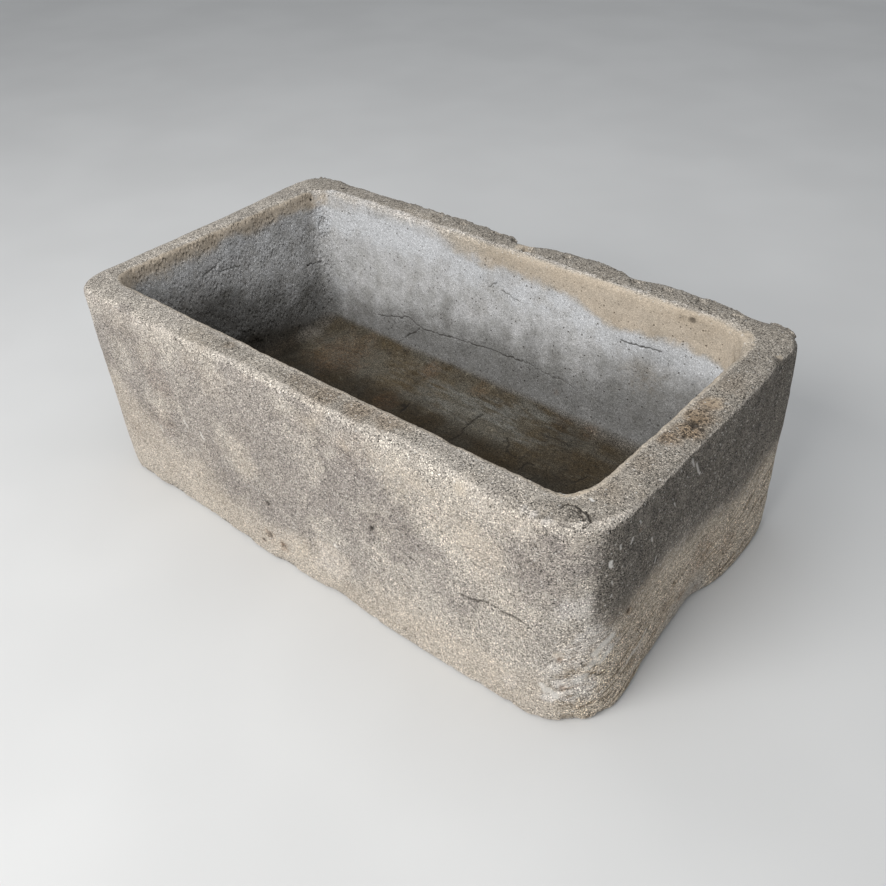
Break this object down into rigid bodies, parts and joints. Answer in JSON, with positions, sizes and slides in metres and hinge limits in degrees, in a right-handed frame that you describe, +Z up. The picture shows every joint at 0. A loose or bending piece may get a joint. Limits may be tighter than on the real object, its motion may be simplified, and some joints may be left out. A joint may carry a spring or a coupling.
{
  "type": "stone trough",
  "caption": "Rectangular sandstone trough with round corners, a worn rim and a coved hollow open at the top, standing on its flat bed.",
  "frame": {"origin": "in the flat bed, under the middle of the block's box", "axes": "+X along the length to the right end, +Y from the front face to the back one, +Z up out of the hollow"},
  "size_m": [1.2682, 0.7268, 0.437],
  "materials": {
    "sandstone": "hewn and weathered sandstone, matt"
  },
  "bodies": {
    "root": {"trough": "sandstone"}
  },
  "joints": []
}
